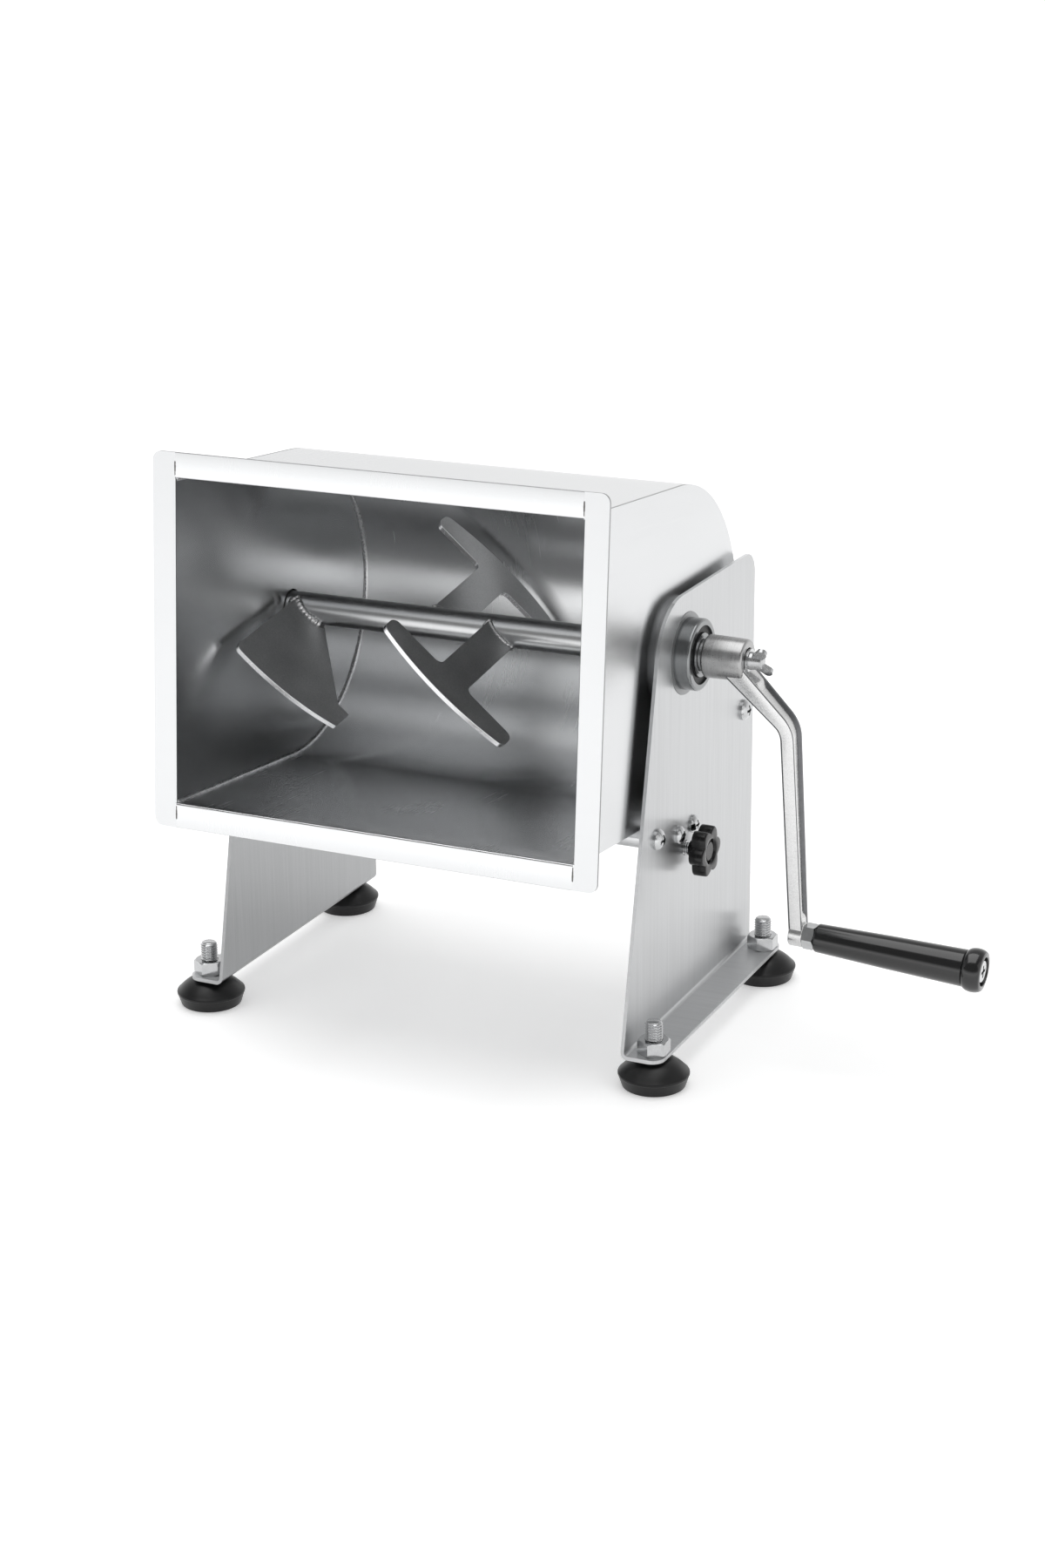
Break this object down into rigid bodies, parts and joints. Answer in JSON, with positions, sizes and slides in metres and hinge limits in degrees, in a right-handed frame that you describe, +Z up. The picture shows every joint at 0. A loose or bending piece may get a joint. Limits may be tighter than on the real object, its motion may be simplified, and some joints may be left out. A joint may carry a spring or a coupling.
{
  "type": "hand-cranked tilting meat mixer",
  "caption": "Hand-cranked meat mixer: a tipping stainless trough on bearings between two side plates, with paddles on a shaft, a crank, a tilt lock and levelling feet.",
  "frame": {"origin": "on the floor, under the middle of the whole object's box", "axes": "X along the mixing shaft towards the crank, -Y the side the tank pours to, +Z up"},
  "size_m": [0.464, 0.246, 0.3386],
  "materials": {
    "brushed_stainless_sheet": "brushed stainless sheet with a vertical grain and bright cut edges",
    "turned_stainless": "turned and polished stainless bar",
    "cut_stainless_plate": "cut stainless plate with a matt face and bright edges",
    "zinc_plated_steel": "bright zinc-plated steel",
    "plated_casting": "plated casting, slightly rough",
    "ground_bearing_steel": "ground and polished bearing steel",
    "moulded_nylon": "natural moulded nylon",
    "seal_rubber": "black nitrile seal",
    "moulded_rubber": "black moulded rubber",
    "black_knob_plastic": "satin black moulded plastic",
    "black_grip_plastic": "glossy black moulded plastic"
  },
  "bodies": {
    "stand": {"left_side_plate": "brushed_stainless_sheet", "right_side_plate": "brushed_stainless_sheet", "front_tie_rod": "turned_stainless", "rear_tie_rod": "turned_stainless", "tie_rod_screws": "zinc_plated_steel", "lock_shoe": "brushed_stainless_sheet", "lock_shoe_pad": "moulded_nylon", "lock_shoe_screws": "zinc_plated_steel", "lock_shoe_nuts": "zinc_plated_steel", "lock_weld_nut": "zinc_plated_steel", "foot_nuts": "zinc_plated_steel"},
    "tank": {"tank_wrapper": "brushed_stainless_sheet", "left_tank_end": "brushed_stainless_sheet", "right_tank_end": "brushed_stainless_sheet", "left_trunnion": "turned_stainless", "right_trunnion": "turned_stainless", "left_bearing_outer_ring": "ground_bearing_steel", "right_bearing_outer_ring": "ground_bearing_steel", "left_bearing_seals": "seal_rubber", "right_bearing_seals": "seal_rubber"},
    "rotor": {"mixing_shaft": "turned_stainless", "left_end_paddle": "cut_stainless_plate", "right_end_paddle": "cut_stainless_plate", "front_tee_paddle": "cut_stainless_plate", "rear_tee_paddle": "cut_stainless_plate", "left_bearing_inner_ring": "ground_bearing_steel", "right_bearing_inner_ring": "ground_bearing_steel", "crank_arm": "plated_casting", "crank_washer": "zinc_plated_steel", "grip_spindle": "zinc_plated_steel", "grip_spindle_nut": "zinc_plated_steel"},
    "left_ball_set": {"left_bearing_balls": "ground_bearing_steel", "left_bearing_cage": "moulded_nylon"},
    "right_ball_set": {"right_bearing_balls": "ground_bearing_steel", "right_bearing_cage": "moulded_nylon"},
    "grip": {"crank_grip": "black_grip_plastic"},
    "wing_screw": {"wing_screw": "zinc_plated_steel"},
    "lock_stud": {"lock_stud": "zinc_plated_steel"},
    "lock_knob": {"lock_knob": "black_knob_plastic", "lock_knob_cap": "black_knob_plastic"},
    "front_left_foot": {"front_left_foot_pad": "moulded_rubber", "front_left_foot_stud": "zinc_plated_steel"},
    "rear_left_foot": {"rear_left_foot_pad": "moulded_rubber", "rear_left_foot_stud": "zinc_plated_steel"},
    "front_right_foot": {"front_right_foot_pad": "moulded_rubber", "front_right_foot_stud": "zinc_plated_steel"},
    "rear_right_foot": {"rear_right_foot_pad": "moulded_rubber", "rear_right_foot_stud": "zinc_plated_steel"}
  },
  "joints": [
    {"name": "tank_tilt", "type": "hinge", "parent": "stand", "child": "tank", "pos_m": [-0.07108, 0.01209, 0.224], "axis": [-1, 0, 0], "range_deg": [0, 138]},
    {"name": "crank_spin", "type": "hinge", "parent": "tank", "child": "rotor", "pos_m": [-0.07108, 0.01209, 0.224], "axis": [1, 0, 0], "continuous": true},
    {"name": "left_cage_spin", "type": "hinge", "parent": "tank", "child": "left_ball_set", "pos_m": [-0.07108, 0.01209, 0.224], "axis": [1, 0, 0], "continuous": true},
    {"name": "right_cage_spin", "type": "hinge", "parent": "tank", "child": "right_ball_set", "pos_m": [-0.07108, 0.01209, 0.224], "axis": [1, 0, 0], "continuous": true},
    {"name": "grip_spin", "type": "hinge", "parent": "rotor", "child": "grip", "pos_m": [0.12092, 0.01209, 0.07], "axis": [0.999, 0, -0.0454], "continuous": true},
    {"name": "wing_screw_turn", "type": "hinge", "parent": "rotor", "child": "wing_screw", "pos_m": [-0.07108, 0.01209, 0.224], "axis": [1, 0, 0], "range_deg": [0, 360]},
    {"name": "lock_travel", "type": "slide", "parent": "stand", "child": "lock_stud", "axis": [-1, 0, 0], "range_m": [0, 0.0025]},
    {"name": "lock_turn", "type": "hinge", "parent": "lock_stud", "child": "lock_knob", "pos_m": [0.05692, 0.01209, 0.1107], "axis": [-1, 0, 0], "range_deg": [0, 720]},
    {"name": "front_left_foot_height", "type": "slide", "parent": "stand", "child": "front_left_foot", "axis": [0, 0, -1], "range_m": [0, 0.008]},
    {"name": "rear_left_foot_height", "type": "slide", "parent": "stand", "child": "rear_left_foot", "axis": [0, 0, -1], "range_m": [0, 0.008]},
    {"name": "front_right_foot_height", "type": "slide", "parent": "stand", "child": "front_right_foot", "axis": [0, 0, -1], "range_m": [0, 0.008]},
    {"name": "rear_right_foot_height", "type": "slide", "parent": "stand", "child": "rear_right_foot", "axis": [0, 0, -1], "range_m": [0, 0.008]}
  ],
  "couplings": [
    {"joint": "left_cage_spin", "follows": "crank_spin", "ratio": 0.38199},
    {"joint": "right_cage_spin", "follows": "crank_spin", "ratio": 0.38199},
    {"joint": "lock_turn", "follows": "lock_travel", "rad_per_m": 5026.5}
  ]
}
